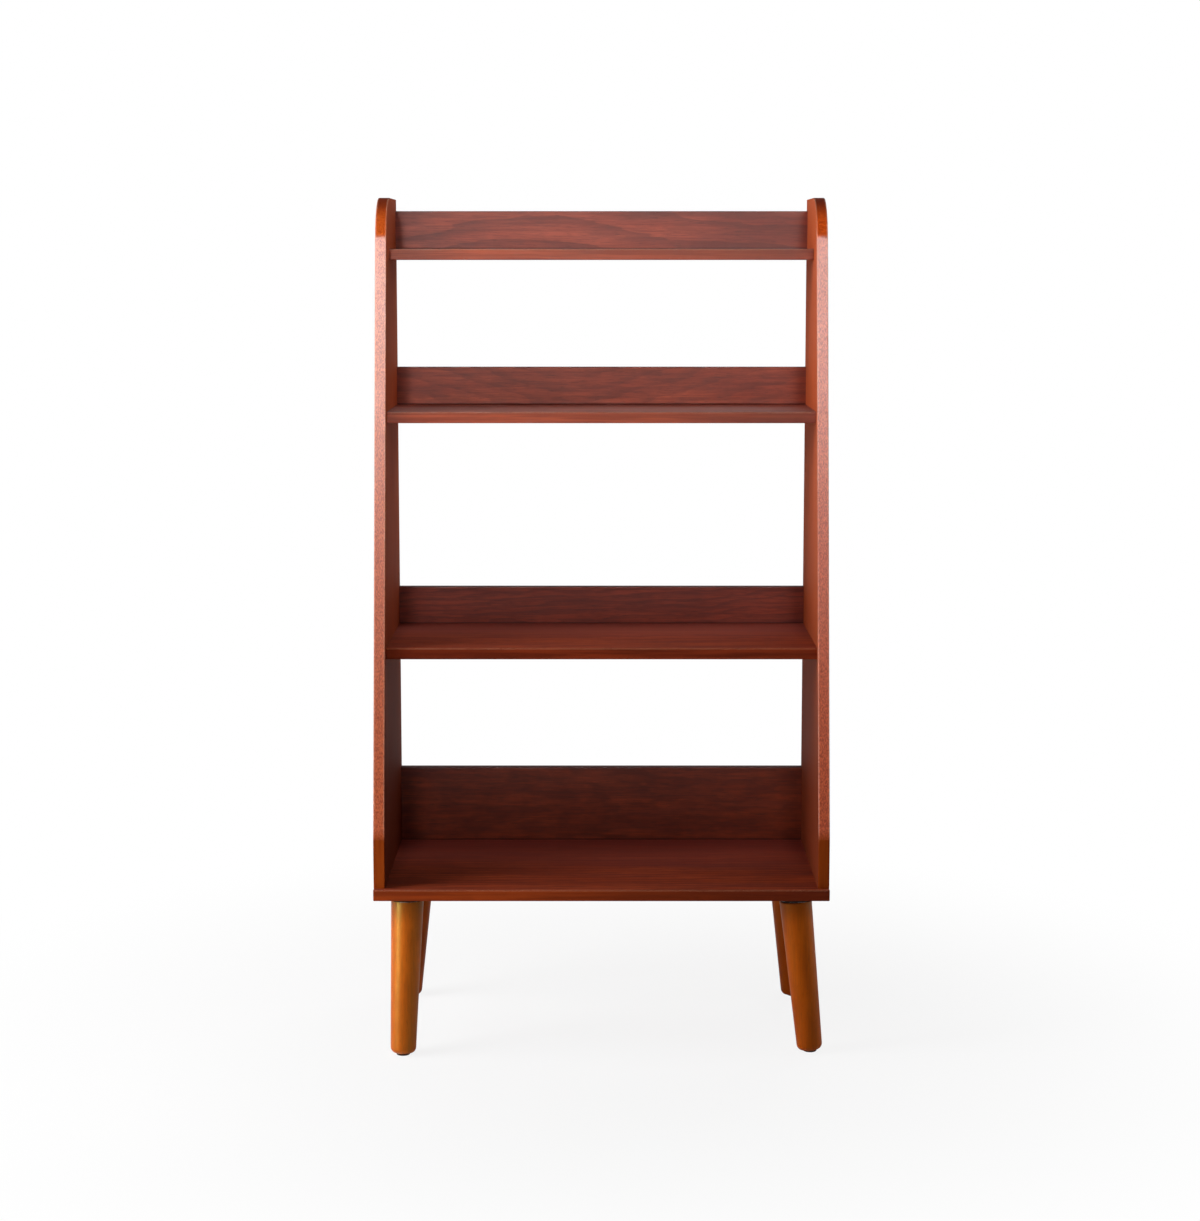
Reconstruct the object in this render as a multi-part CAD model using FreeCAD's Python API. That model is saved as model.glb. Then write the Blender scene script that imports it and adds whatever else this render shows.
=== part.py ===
import FreeCAD, Part
import math
import os
from FreeCAD import Placement, Rotation, Vector

# Open bookcase of veneered boards on four turned legs.
# X runs across the front, Y from front to back and Z up.
# The origin is on the floor under the middle of the base.
# Lengths are millimetres and angles are degrees.

# Case
case_width = 600.0
base_depth = 300.0
base_underside_height = 211.0
base_thickness = 15.0
panel_thickness = 15.0
shelf_thickness = 15.0
rail_thickness = 15.0
arris_radius = 1.2

# Bays, each from the top face of one board to the top face of the next
lower_bay_height = 312.0
middle_bay_height = 309.0
upper_bay_height = 215.0
panel_rise = 68.0

# Side panel outline: its foot stands behind the base's front, its top depth is taken from the back edge
panel_foot_setback = 8.0
panel_foot_height = 65.0
panel_top_depth = 156.0
panel_corner_radius = 64.0

# Distance of each shelf's front behind the sloped edge of the panels
lower_shelf_setback = 12.0
middle_shelf_setback = 14.0
top_shelf_setback = 42.0

# Back rails
base_rail_height = 105.0
shelf_rail_height = 52.0

# Legs, with the heading of each lean counted from +X towards +Y
leg_inset_x = 42.5
leg_inset_y = 32.0
leg_top_diameter = 43.0
leg_foot_diameter = 34.0
leg_foot_round = 8.0
leg_lean = 6.0
front_left_heading = -106.0
front_right_heading = -15.0
rear_left_heading = 146.0
rear_right_heading = 34.0

# Leg plates, their screws and the hanger bolts
pan_lip = 1.25
leg_overhang = 1.0
flange_thickness = 2.5
flange_width = 9.0
plate_screw_radius = 2.0
plate_screw_head_radius = 3.6
plate_screw_head_height = 1.8
plate_screw_point = 3.0
hanger_bolt_radius = 4.0
hanger_bolt_rise = 10.0
hanger_bolt_depth = 35.0
hanger_bolt_point = 5.0
bolt_relief_margin = 3.0
bolt_relief_gap = 1.5

# Glides nailed under the feet
glide_thickness = 3.0
glide_edge_radius = 1.0
glide_nail_radius = 1.2
glide_nail_length = 18.0

# Dowels, and the wood left under a blind hole
dowel_radius = 4.0
dowel_length = 30.0
dowel_chamfer = 0.8
blind_skin = 4.0

# Cam fittings
cam_radius = 7.5
cam_setback = 24.0
cam_skin = 3.0
cam_hole_gap = 0.4
cam_bolt_thread_radius = 3.0
cam_bolt_collar_radius = 3.4
cam_bolt_collar_length = 2.0
cam_bolt_pin_radius = 2.4
cam_bolt_head_radius = 3.2
cam_bolt_head_length = 3.0

# Screws from the base up into the panels
panel_screw_radius = 3.5
panel_screw_head_radius = 5.0
panel_screw_head_height = 3.0
panel_screw_point = 4.0
panel_screw_grip = 35.0

# Driving recesses of the screws and cams
recess_width = 1.2
recess_depth = 1.2

# Clearances and cutting
hole_clearance = 0.15
hole_end_gap = 0.6
overrun = 5.0
tolerance = 0.001

# Places along a board, as shares of its depth, height or width
shelf_cam_shares = (0.25, 0.80)
shelf_dowel_share = 0.525
rail_cam_share = 0.68
rail_dowel_share = 0.28
rail_foot_dowel_shares = (-0.30, 0.0, 0.30)
panel_screw_shares = (0.15, 0.50, 0.85)
panel_dowel_shares = (0.325, 0.675)
recess_span_share = 0.60

# Levels and limits worked out from the sizes above
base_top = base_underside_height + base_thickness
lower_shelf_top = base_top + lower_bay_height
middle_shelf_top = lower_shelf_top + middle_bay_height
top_shelf_top = middle_shelf_top + upper_bay_height
panel_top = top_shelf_top + panel_rise
half_width = case_width / 2
inner_half_width = half_width - panel_thickness
back = base_depth / 2
rail_middle = back - rail_thickness / 2
panel_foot_depth = base_depth - panel_foot_setback
panel_slope = (panel_foot_depth - panel_top_depth) / (panel_top - base_top - panel_foot_height)
lean_angle = math.radians(leg_lean)
leg_seat_drop = flange_thickness + pan_lip + math.sin(lean_angle) * leg_top_diameter / 2

full_turn = 360.0
quarter_turn = 90.0
up = Vector(0, 0, 1)
down = Vector(0, 0, -1)
backward = Vector(0, 1, 0)
sides = {"left": -1, "right": 1}


def panel_depth_at(height):
    """Depth of a side panel at a height above the floor."""
    rise = max(height - base_top - panel_foot_height, 0)
    return panel_foot_depth - panel_slope * rise


# Each shelf: its top face and its depth from the back edge
shelves = {
    "lower": (lower_shelf_top, panel_depth_at(lower_shelf_top) - lower_shelf_setback),
    "middle": (middle_shelf_top, panel_depth_at(middle_shelf_top) - middle_shelf_setback),
    "top": (top_shelf_top, panel_depth_at(top_shelf_top) - top_shelf_setback),
}

# Each rail: the face that it stands on, the thickness of that board and its own height
rails = {
    "base": (base_top, base_thickness, base_rail_height),
    "lower": (lower_shelf_top, shelf_thickness, shelf_rail_height),
    "middle": (middle_shelf_top, shelf_thickness, shelf_rail_height),
    "top": (top_shelf_top, shelf_thickness, shelf_rail_height),
}

# Each leg: which side, which end of the depth, and where it leans
legs = {
    "front_left": (-1, -1, front_left_heading),
    "front_right": (1, -1, front_right_heading),
    "rear_left": (-1, 1, rear_left_heading),
    "rear_right": (1, 1, rear_right_heading),
}


# Shared shapes

def rod(start, direction, radius, length):
    """Round bar from a start point along a direction."""
    return Part.makeCylinder(radius, length, start, direction)


def blind_hole(start, direction, radius, length):
    """Cutter for a bar of this radius and length, with its clearance and end gap."""
    return rod(start, direction, radius + hole_clearance, length + hole_end_gap)


def joined(pieces):
    """One solid from pieces that meet."""
    return pieces[0].multiFuse(pieces[1:]).removeSplitter()


def cross_recess(point, outward, span):
    """Cutter for a cross slot sunk into a flat head."""
    depth = recess_depth + overrun
    arms = []
    for length, width in ((span, recess_width), (recess_width, span)):
        corner = Vector(-length / 2, -width / 2, -recess_depth)
        arms.append(Part.makeBox(length, width, depth, corner))
    cutter = joined(arms)
    cutter.Placement = Placement(point, Rotation(up, outward))
    return cutter


def eased(shape, edges):
    """Shape with the sharp corner taken off some of its edges."""
    return shape.makeFillet(arris_radius, edges)


def edges_across(shape):
    """Edges that run straight across the case."""
    return [
        edge for edge in shape.Edges
        if edge.BoundBox.YLength < tolerance and edge.BoundBox.ZLength < tolerance
    ]


def screw(head, direction, sizes, length, growth):
    """Countersunk screw, or with growth its hole, from the flat of its head to its point."""
    head_radius, shank_radius, head_height, point_length = sizes
    straight = length - head_height - point_length
    neck = head + direction * head_height
    tip = neck + direction * straight
    pieces = [
        Part.makeCone(head_radius + growth, shank_radius + growth, head_height, head, direction),
        rod(neck, direction, shank_radius + growth, straight),
        Part.makeCone(shank_radius + growth, growth, point_length + growth, tip, direction),
    ]
    return joined(pieces)


# Dowels

def dowel(seat, inward, outer_depth):
    """Beech dowel across a joint: outer_depth of it lies in the drilled face behind the seat."""
    shape = rod(seat - inward * outer_depth, inward, dowel_radius, dowel_length)
    rims = [edge for edge in shape.Edges if edge.Closed]
    return shape.makeChamfer(dowel_chamfer, rims)


def dowel_holes(seat, inward, outer_depth):
    """The hole behind the seat and the hole in the board end in front of it."""
    behind = blind_hole(seat, inward * -1, dowel_radius, outer_depth)
    before = blind_hole(seat, inward, dowel_radius, dowel_length - outer_depth)
    return behind, before


# Cam fittings

def cam_bolt_thread_depth():
    """Length of a cam bolt's thread inside a side panel."""
    return panel_thickness - blind_skin


def cam_bolt(seat, inward):
    """Bolt in a panel's inner face, with a head that its cam disc grips."""
    pin_length = cam_setback - cam_bolt_collar_length
    pin_start = seat + inward * cam_bolt_collar_length
    head_start = seat + inward * (cam_setback - cam_bolt_head_length / 2)
    pieces = [
        rod(seat, inward * -1, cam_bolt_thread_radius, cam_bolt_thread_depth()),
        rod(seat, inward, cam_bolt_collar_radius, cam_bolt_collar_length),
        rod(pin_start, inward, cam_bolt_pin_radius, pin_length),
        rod(head_start, inward, cam_bolt_head_radius, cam_bolt_head_length),
    ]
    return joined(pieces)


def cam_bolt_holes(seat, inward):
    """The hole in the panel and the bore in the board end."""
    behind = blind_hole(seat, inward * -1, cam_bolt_thread_radius, cam_bolt_thread_depth())
    before = rod(seat, inward, cam_bolt_collar_radius + hole_clearance, cam_setback)
    return behind, before


def cam_mouth(seat, inward, outward, thickness):
    """Middle of the cam's open face, on the face of its board."""
    return seat + inward * cam_setback + outward * (thickness / 2)


def cam_disc(seat, inward, outward, thickness):
    """Zinc disc with a cross slot, hollowed for the head of its bolt."""
    mouth = cam_mouth(seat, inward, outward, thickness)
    disc = rod(mouth, outward * -1, cam_radius, thickness - cam_skin)
    reach = cam_bolt_head_length / 2 + cam_hole_gap
    hollow_start = seat + inward * (cam_setback + reach)
    hollow_radius = cam_bolt_head_radius + cam_hole_gap
    hollow = rod(hollow_start, inward * -1, hollow_radius, reach + cam_radius + overrun)
    slot = cross_recess(mouth, outward, 2 * cam_radius * recess_span_share)
    return disc.cut([hollow, slot])


def cam_pocket(seat, inward, outward, thickness):
    """Round pocket for a cam disc, which rests on its floor."""
    mouth = cam_mouth(seat, inward, outward, thickness)
    height = thickness - cam_skin
    return rod(mouth + outward * overrun, outward * -1, cam_radius + hole_clearance, height + overrun)


# Places of the fittings: each seat is a point on a joint, with the way into the inner board

def shelf_end_seats(name, shares):
    """Seats along both ends of a shelf."""
    top, depth = shelves[name]
    seats = []
    for side in sides.values():
        for share in shares:
            seat = Vector(side * inner_half_width, back - depth * share, top - shelf_thickness / 2)
            seats.append((side, seat, Vector(-side, 0, 0)))
    return seats


def rail_end_seats(name, share):
    """Seats at both ends of a rail."""
    foot, thickness, height = rails[name]
    seats = []
    for side in sides.values():
        seat = Vector(side * inner_half_width, rail_middle, foot + height * share)
        seats.append((side, seat, Vector(-side, 0, 0)))
    return seats


def rail_foot_seats(name):
    """Seats along the foot of a rail."""
    foot, thickness, height = rails[name]
    return [Vector(2 * inner_half_width * share, rail_middle, foot) for share in rail_foot_dowel_shares]


def panel_foot_seats(side, shares):
    """Seats along the foot of a side panel."""
    middle = side * (half_width - panel_thickness / 2)
    return [Vector(middle, back - panel_foot_depth * share, base_top) for share in shares]


panel_screw_sizes = (
    panel_screw_head_radius, panel_screw_radius, panel_screw_head_height, panel_screw_point,
)
plate_screw_sizes = (
    plate_screw_head_radius, plate_screw_radius, plate_screw_head_height, plate_screw_point,
)
base_dowel_depth = base_thickness - blind_skin
shelf_dowel_depth = shelf_thickness - blind_skin
panel_dowel_depth = panel_thickness - blind_skin


def panel_screw(seat, growth):
    """Screw, or its hole, from the base's underside up through a seat."""
    head = seat + down * base_thickness
    return screw(head, up, panel_screw_sizes, base_thickness + panel_screw_grip, growth)


# Legs and what fixes them

def leg_seat(name):
    """Middle of a leg's top face and the way its axis runs down."""
    side, end, heading = legs[name]
    x = side * (half_width - leg_inset_x)
    y = end * (back - leg_inset_y)
    angle = math.radians(heading)
    reach = math.sin(lean_angle)
    axis = Vector(reach * math.cos(angle), reach * math.sin(angle), -math.cos(lean_angle))
    return Vector(x, y, base_underside_height - leg_seat_drop), axis


def foot_centre(name):
    """Point where a leg's axis meets the top of its glide."""
    seat, axis = leg_seat(name)
    return seat + axis * ((seat.z - glide_thickness) / math.cos(lean_angle))


foot_flat_radius = leg_foot_diameter / 2 - leg_foot_round


def leg_profile(length):
    """Half outline of a leg, from its top face down to its rounded end."""
    top_radius = leg_top_diameter / 2
    foot_radius = leg_foot_diameter / 2
    diagonal = math.sqrt(0.5)
    top_middle = Vector(0, 0, 0)
    top_rim = Vector(top_radius - arris_radius, 0, 0)
    top_side = Vector(top_radius, 0, -arris_radius)
    ease_centre = Vector(top_radius - arris_radius, 0, -arris_radius)
    ease_point = ease_centre + Vector(diagonal, 0, diagonal) * arris_radius
    foot_side = Vector(foot_radius, 0, leg_foot_round - length)
    foot_rim = Vector(foot_flat_radius, 0, -length)
    round_centre = Vector(foot_flat_radius, 0, leg_foot_round - length)
    round_point = round_centre + Vector(diagonal, 0, -diagonal) * leg_foot_round
    foot_middle = Vector(0, 0, -length)
    edges = [
        Part.LineSegment(top_middle, top_rim).toShape(),
        Part.Arc(top_rim, ease_point, top_side).toShape(),
        Part.LineSegment(top_side, foot_side).toShape(),
        Part.Arc(foot_side, round_point, foot_rim).toShape(),
        Part.LineSegment(foot_rim, foot_middle).toShape(),
        Part.LineSegment(foot_middle, top_middle).toShape(),
    ]
    return Part.Face(Part.Wire(edges))


def leg(name):
    """Turned leg, sawn level at its foot and drilled for its bolt and its glide's nail."""
    seat, axis = leg_seat(name)
    foot = foot_centre(name)
    length = foot.distanceToPoint(seat) + foot_flat_radius * math.tan(lean_angle)
    turned = leg_profile(length).revolve(Vector(0, 0, 0), up, full_turn)
    turned.Placement = Placement(seat, Rotation(down, axis))
    saw_span = leg_foot_diameter + overrun
    saw_corner = foot - Vector(saw_span / 2, saw_span / 2, overrun)
    saw = Part.makeBox(saw_span, saw_span, overrun, saw_corner)
    bolt_hole = blind_hole(seat, axis, hanger_bolt_radius, hanger_bolt_depth)
    nail_hole = blind_hole(foot, up, glide_nail_radius, glide_nail_length)
    return turned.cut([saw, bolt_hole, nail_hole])


def hanger_bolt(name):
    """Bolt along a leg's axis, from above its plate to a point inside the leg."""
    seat, axis = leg_seat(name)
    start = seat - axis * hanger_bolt_rise
    straight = hanger_bolt_rise + hanger_bolt_depth - hanger_bolt_point
    tip = start + axis * straight
    shank = rod(start, axis, hanger_bolt_radius, straight)
    return joined([shank, Part.makeCone(hanger_bolt_radius, 0, hanger_bolt_point, tip, axis)])


pan_radius = leg_top_diameter / 2 - leg_overhang
flange_radius = pan_radius + flange_width
plate_screw_length = flange_thickness + base_thickness - blind_skin


def plate_screw_heads(name):
    """Middles of the four screw heads of a leg plate."""
    seat, axis = leg_seat(name)
    circle = pan_radius + flange_width / 2
    heads = []
    for turn in range(4):
        angle = math.radians(quarter_turn * (turn + 0.5))
        x = seat.x + circle * math.cos(angle)
        y = seat.y + circle * math.sin(angle)
        heads.append(Vector(x, y, base_underside_height - flange_thickness))
    return heads


def plate_screw(head, growth):
    """Screw, or its hole, from a plate's flange up into the base."""
    return screw(head, up, plate_screw_sizes, plate_screw_length, growth)


def leg_plate(name):
    """Pressed steel plate: a flat flange under the base and a pan that tilts to the leg."""
    seat, axis = leg_seat(name)
    middle = Vector(seat.x, seat.y, base_underside_height)
    flange = rod(middle, down, flange_radius, flange_thickness)
    pan = rod(middle, down, pan_radius, leg_seat_drop + pan_radius)
    trim = rod(seat, axis, flange_radius, leg_seat_drop + pan_radius + overrun)
    bolt_start = seat - axis * (hanger_bolt_rise + overrun)
    bolt_hole = rod(bolt_start, axis, hanger_bolt_radius + hole_clearance, hanger_bolt_rise + 2 * overrun)
    screw_holes = [plate_screw(head, hole_clearance) for head in plate_screw_heads(name)]
    return joined([flange, pan.cut(trim)]).cut([bolt_hole] + screw_holes)


def bolt_relief(name):
    """Pocket in the base's underside for the end of a hanger bolt."""
    seat, axis = leg_seat(name)
    mouth = Vector(seat.x, seat.y, base_underside_height)
    depth = hanger_bolt_rise * math.cos(lean_angle) - leg_seat_drop + bolt_relief_gap
    return rod(mouth, up, hanger_bolt_radius + bolt_relief_margin, depth)


def foot_glide(name):
    """Nail-on glide: a disc on the floor with its nail up in the leg."""
    foot = foot_centre(name)
    disc = rod(foot, down, foot_flat_radius, glide_thickness)
    rim = [edge for edge in disc.Edges if edge.Closed and edge.BoundBox.ZMax < tolerance]
    disc = disc.makeFillet(glide_edge_radius, rim)
    return joined([disc, rod(foot, up, glide_nail_radius, glide_nail_length)])


# Boards

def base_board():
    """Full-width bottom board, drilled for panels, rail and legs."""
    corner = Vector(-half_width, -back, base_underside_height)
    board = Part.makeBox(case_width, base_depth, base_thickness, corner)
    board = eased(board, board.Edges)
    cutters = [dowel_holes(seat, up, base_dowel_depth)[0] for seat in rail_foot_seats("base")]
    for side in sides.values():
        cutters += [panel_screw(seat, hole_clearance) for seat in panel_foot_seats(side, panel_screw_shares)]
        for seat in panel_foot_seats(side, panel_dowel_shares):
            cutters.append(dowel_holes(seat, up, base_dowel_depth)[0])
    for name in legs:
        cutters.append(bolt_relief(name))
        cutters += [plate_screw(head, hole_clearance) for head in plate_screw_heads(name)]
    return board.cut(cutters)


def panel_outline():
    """Outline of a side panel, seen from the side, at the middle of the case."""
    lean = math.atan(panel_slope)
    tangent = panel_corner_radius * math.tan((math.radians(quarter_turn) - lean) / 2)
    corner = Vector(0, back - panel_top_depth, panel_top)
    slope_end = corner - Vector(0, math.sin(lean), math.cos(lean)) * tangent
    flat_start = corner + backward * tangent
    round_centre = flat_start + down * panel_corner_radius
    to_corner = corner - round_centre
    round_point = round_centre + to_corner * (panel_corner_radius / to_corner.Length)
    back_foot = Vector(0, back, base_top)
    front_foot = Vector(0, back - panel_foot_depth, base_top)
    knee = front_foot + up * panel_foot_height
    back_top = Vector(0, back, panel_top)
    edges = [
        Part.LineSegment(back_foot, front_foot).toShape(),
        Part.LineSegment(front_foot, knee).toShape(),
        Part.LineSegment(knee, slope_end).toShape(),
        Part.Arc(slope_end, round_point, flat_start).toShape(),
        Part.LineSegment(flat_start, back_top).toShape(),
        Part.LineSegment(back_top, back_foot).toShape(),
    ]
    return Part.Face(Part.Wire(edges))


def side_panel(side):
    """Side panel with its holes for the base, shelves and rails."""
    board = panel_outline().extrude(Vector(panel_thickness, 0, 0))
    inner_face = side * inner_half_width
    board.translate(Vector(min(inner_face, side * half_width), 0, 0))
    face_edges = [
        edge for edge in board.Edges
        if edge.BoundBox.XLength < tolerance and edge.BoundBox.ZMax > base_top + tolerance
    ]
    board = eased(board, face_edges)
    cutters = [panel_screw(seat, hole_clearance) for seat in panel_foot_seats(side, panel_screw_shares)]
    for seat in panel_foot_seats(side, panel_dowel_shares):
        cutters.append(dowel_holes(seat, up, base_dowel_depth)[1])
    bolts = [seat for name in shelves for seat in shelf_end_seats(name, shelf_cam_shares)]
    bolts += [seat for name in rails for seat in rail_end_seats(name, rail_cam_share)]
    dowels = [seat for name in shelves for seat in shelf_end_seats(name, (shelf_dowel_share,))]
    dowels += [seat for name in rails for seat in rail_end_seats(name, rail_dowel_share)]
    cutters += [cam_bolt_holes(seat, inward)[0] for end, seat, inward in bolts if end == side]
    for end, seat, inward in dowels:
        if end == side:
            cutters.append(dowel_holes(seat, inward, panel_dowel_depth)[0])
    return board.cut(cutters)


def shelf(name):
    """Shelf between the panels, with cam pockets in its underside."""
    top, depth = shelves[name]
    corner = Vector(-inner_half_width, back - depth, top - shelf_thickness)
    board = Part.makeBox(2 * inner_half_width, depth, shelf_thickness, corner)
    board = eased(board, edges_across(board))
    cutters = [dowel_holes(seat, up, shelf_dowel_depth)[0] for seat in rail_foot_seats(name)]
    for side, seat, inward in shelf_end_seats(name, shelf_cam_shares):
        cutters.append(cam_bolt_holes(seat, inward)[1])
        cutters.append(cam_pocket(seat, inward, down, shelf_thickness))
    for side, seat, inward in shelf_end_seats(name, (shelf_dowel_share,)):
        cutters.append(dowel_holes(seat, inward, panel_dowel_depth)[1])
    return board.cut(cutters)


def back_rail(name):
    """Rail along the back of a board, with cam pockets in its back face."""
    foot, thickness, height = rails[name]
    corner = Vector(-inner_half_width, back - rail_thickness, foot)
    board = Part.makeBox(2 * inner_half_width, rail_thickness, height, corner)
    board = eased(board, edges_across(board))
    depth_below = thickness - blind_skin
    cutters = [dowel_holes(seat, up, depth_below)[1] for seat in rail_foot_seats(name)]
    for side, seat, inward in rail_end_seats(name, rail_cam_share):
        cutters.append(cam_bolt_holes(seat, inward)[1])
        cutters.append(cam_pocket(seat, inward, backward, rail_thickness))
    for side, seat, inward in rail_end_seats(name, rail_dowel_share):
        cutters.append(dowel_holes(seat, inward, panel_dowel_depth)[1])
    return board.cut(cutters)


# The pieces, in the order in which they are put together

parts = {}
parts["base_board"] = base_board()
for name in legs:
    parts[name + "_leg"] = leg(name)
    parts[name + "_leg_plate"] = leg_plate(name)
for side_name, side in sides.items():
    parts[side_name + "_side_panel"] = side_panel(side)
for name in shelves:
    parts[name + "_shelf"] = shelf(name)
for name in rails:
    parts[name + "_back_rail"] = back_rail(name)

shelf_cams = [seat for name in shelves for seat in shelf_end_seats(name, shelf_cam_shares)]
shelf_dowels = [seat for name in shelves for seat in shelf_end_seats(name, (shelf_dowel_share,))]
rail_cams = [seat for name in rails for seat in rail_end_seats(name, rail_cam_share)]
rail_dowels = [seat for name in rails for seat in rail_end_seats(name, rail_dowel_share)]

groups = {
    "leg_hanger_bolts": [hanger_bolt(name) for name in legs],
    "foot_glides": [foot_glide(name) for name in legs],
    "shelf_cam_bolts": [cam_bolt(seat, inward) for side, seat, inward in shelf_cams],
    "shelf_end_dowels": [dowel(seat, inward, panel_dowel_depth) for side, seat, inward in shelf_dowels],
    "rail_cam_bolts": [cam_bolt(seat, inward) for side, seat, inward in rail_cams],
    "rail_end_dowels": [dowel(seat, inward, panel_dowel_depth) for side, seat, inward in rail_dowels],
    "shelf_cam_discs": [],
    "rail_cam_discs": [],
    "leg_plate_screws": [],
    "panel_foot_screws": [],
    "panel_foot_dowels": [],
    "rail_foot_dowels": [],
}
for side, seat, inward in shelf_cams:
    groups["shelf_cam_discs"].append(cam_disc(seat, inward, down, shelf_thickness))
for side, seat, inward in rail_cams:
    groups["rail_cam_discs"].append(cam_disc(seat, inward, backward, rail_thickness))
for name in legs:
    for head in plate_screw_heads(name):
        recess = cross_recess(head, down, 2 * plate_screw_head_radius * recess_span_share)
        groups["leg_plate_screws"].append(plate_screw(head, 0).cut(recess))
for side in sides.values():
    for seat in panel_foot_seats(side, panel_screw_shares):
        head = seat + down * base_thickness
        recess = cross_recess(head, down, 2 * panel_screw_head_radius * recess_span_share)
        groups["panel_foot_screws"].append(panel_screw(seat, 0).cut(recess))
    for seat in panel_foot_seats(side, panel_dowel_shares):
        groups["panel_foot_dowels"].append(dowel(seat, up, base_dowel_depth))
for name, (foot, thickness, height) in rails.items():
    for seat in rail_foot_seats(name):
        groups["rail_foot_dowels"].append(dowel(seat, up, thickness - blind_skin))

for name, pieces in groups.items():
    parts[name] = Part.makeCompound(pieces)

os.makedirs("parts", exist_ok=True)
for name, shape in parts.items():
    shape.exportStep("parts/" + name + ".step")
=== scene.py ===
import math

import bpy
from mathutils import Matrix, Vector


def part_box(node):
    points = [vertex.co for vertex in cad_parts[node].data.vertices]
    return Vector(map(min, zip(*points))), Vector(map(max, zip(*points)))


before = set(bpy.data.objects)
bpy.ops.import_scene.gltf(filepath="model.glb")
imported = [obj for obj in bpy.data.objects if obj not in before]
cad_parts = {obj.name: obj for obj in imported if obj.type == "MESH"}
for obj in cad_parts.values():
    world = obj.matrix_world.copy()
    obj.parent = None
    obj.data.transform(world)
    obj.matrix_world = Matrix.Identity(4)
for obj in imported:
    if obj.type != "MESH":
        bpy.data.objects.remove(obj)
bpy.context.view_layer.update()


# Base board: a 15 mm board faced with stained walnut veneer and banded round its edges, on which all the
# rest is built. Its grain runs from end to end. The varnish on it has dried matt. Its top turns purple-grey
# toward the back as a painted reflection of the rail, its banding darkens toward the right end as painted
# shade, and its upper arrises are lightened, partly as wear and partly as a painted highlight.


def new_finish(name):
    """An empty finish, with its shader."""
    finish = bpy.data.materials.new(name)
    finish.use_nodes = True
    return finish, finish.node_tree.nodes["Principled BSDF"]


def feed(finish, socket, value):
    """Joins the output of an earlier node to a socket, or sets the socket to a plain value."""
    if isinstance(value, bpy.types.NodeSocket):
        finish.node_tree.links.new(value, socket)
    else:
        socket.default_value = value


def step(finish, kind, inputs, **settings):
    """One node of a finish. An input is a number, a vector, a colour or the output of an earlier node."""
    node = finish.node_tree.nodes.new("ShaderNode" + kind)
    for setting, value in settings.items():
        setattr(node, setting, value)
    for socket, value in inputs.items():
        feed(finish, node.inputs[socket], value)
    return node


def lumps(finish, places, per_metre, detail=2.0, roughness=0.5):
    """Noise from 0 to 1, with so many lumps per metre along each axis."""
    stretched = step(finish, "VectorMath", {0: places, 1: per_metre}, operation="MULTIPLY").outputs[0]
    inputs = {"Vector": stretched, "Scale": 1.0, "Detail": detail, "Roughness": roughness}
    return step(finish, "TexNoise", inputs).outputs[0]


def spread(finish, value, low, high, to_low=0.0, to_high=1.0):
    """A value between low and high, spread smoothly over another range."""
    inputs = {"Value": value, "From Min": low, "From Max": high, "To Min": to_low, "To Max": to_high}
    return step(finish, "MapRange", inputs, interpolation_type="SMOOTHSTEP").outputs[0]


def sums(finish, operation, first, second=0.0):
    """Arithmetic on one or two values, such as ADD, MULTIPLY or ABSOLUTE."""
    return step(finish, "Math", {0: first, 1: second}, operation=operation).outputs[0]


def tint(finish, share, under, over):
    """One colour laid over another by a share."""
    return step(finish, "Mix", {0: share, 6: under, 7: over}, data_type="RGBA").outputs[2]


def likeness(finish, direction, other):
    """1 where two directions are the same and 0 where they are square to each other."""
    return step(finish, "VectorMath", {0: direction, 1: other}, operation="DOT_PRODUCT").outputs["Value"]


def axes(finish, vector):
    """The three numbers of a vector."""
    return step(finish, "SeparateXYZ", {"Vector": vector}).outputs


def surface_place(finish):
    """Where a point of the surface is, in metres from the middle of the floor under the bookcase."""
    return step(finish, "TexCoord", {}).outputs["Object"]


def true_face(finish):
    """The direction that the surface faces."""
    return step(finish, "NewGeometry", {}).outputs["Normal"]


def log_place(finish, place, heart, grain):
    """A place on a piece counted from the heart of its log, with the grain along the first axis."""
    inputs = {"Vector": place, "Location": heart, "Rotation": grain}
    return step(finish, "Mapping", inputs, vector_type="TEXTURE").outputs[0]


def skin(finish, shader, height, strength, distance):
    """The fine relief of a surface, so many metres deep."""
    inputs = {"Height": height, "Strength": strength, "Distance": distance}
    bump = step(finish, "Bump", inputs).outputs[0]
    feed(finish, shader.inputs["Normal"], bump)
    return bump


# Marks real wear on the plates and glides, and wear with a painted highlight on the veneer.
def arris_wear_and_highlight(finish, width, wear_highlight_side=None, end_side=None):
    """1 on a piece's arrises and 0 on its faces. It can be kept to one side, or off the joined ends."""
    softened = step(finish, "Bevel", {"Radius": width}, samples=6).outputs[0]
    worn = spread(finish, likeness(finish, softened, true_face(finish)), 0.985, 0.86)
    if wear_highlight_side:
        on_side = spread(finish, likeness(finish, softened, wear_highlight_side), 0.05, 0.25)
        worn = sums(finish, "MULTIPLY", worn, on_side)
    if end_side:
        at_end = sums(finish, "ABSOLUTE", likeness(finish, softened, end_side))
        worn = sums(finish, "MULTIPLY", worn, spread(finish, at_end, 0.30, 0.10))
    return worn


def spot(node_name, x_share, y_share, z_share):
    """A place in a CAD node's box, from 0 at its low side to 1 at its high side. It may lie outside."""
    low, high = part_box(node_name)
    shares = (x_share, y_share, z_share)
    return tuple(a + (b - a) * share for a, b, share in zip(low, high, shares))


def stretch(node_name, axis, start_share, end_share):
    """Two places along one axis of a CAD node's box, counted in shares like a spot."""
    return tuple(spot(node_name, share, share, share)[axis] for share in (start_share, end_share))


def dress(finish, *node_names):
    """Gives CAD nodes their finish."""
    for node_name in node_names:
        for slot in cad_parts[node_name].material_slots:
            slot.material = finish


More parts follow.
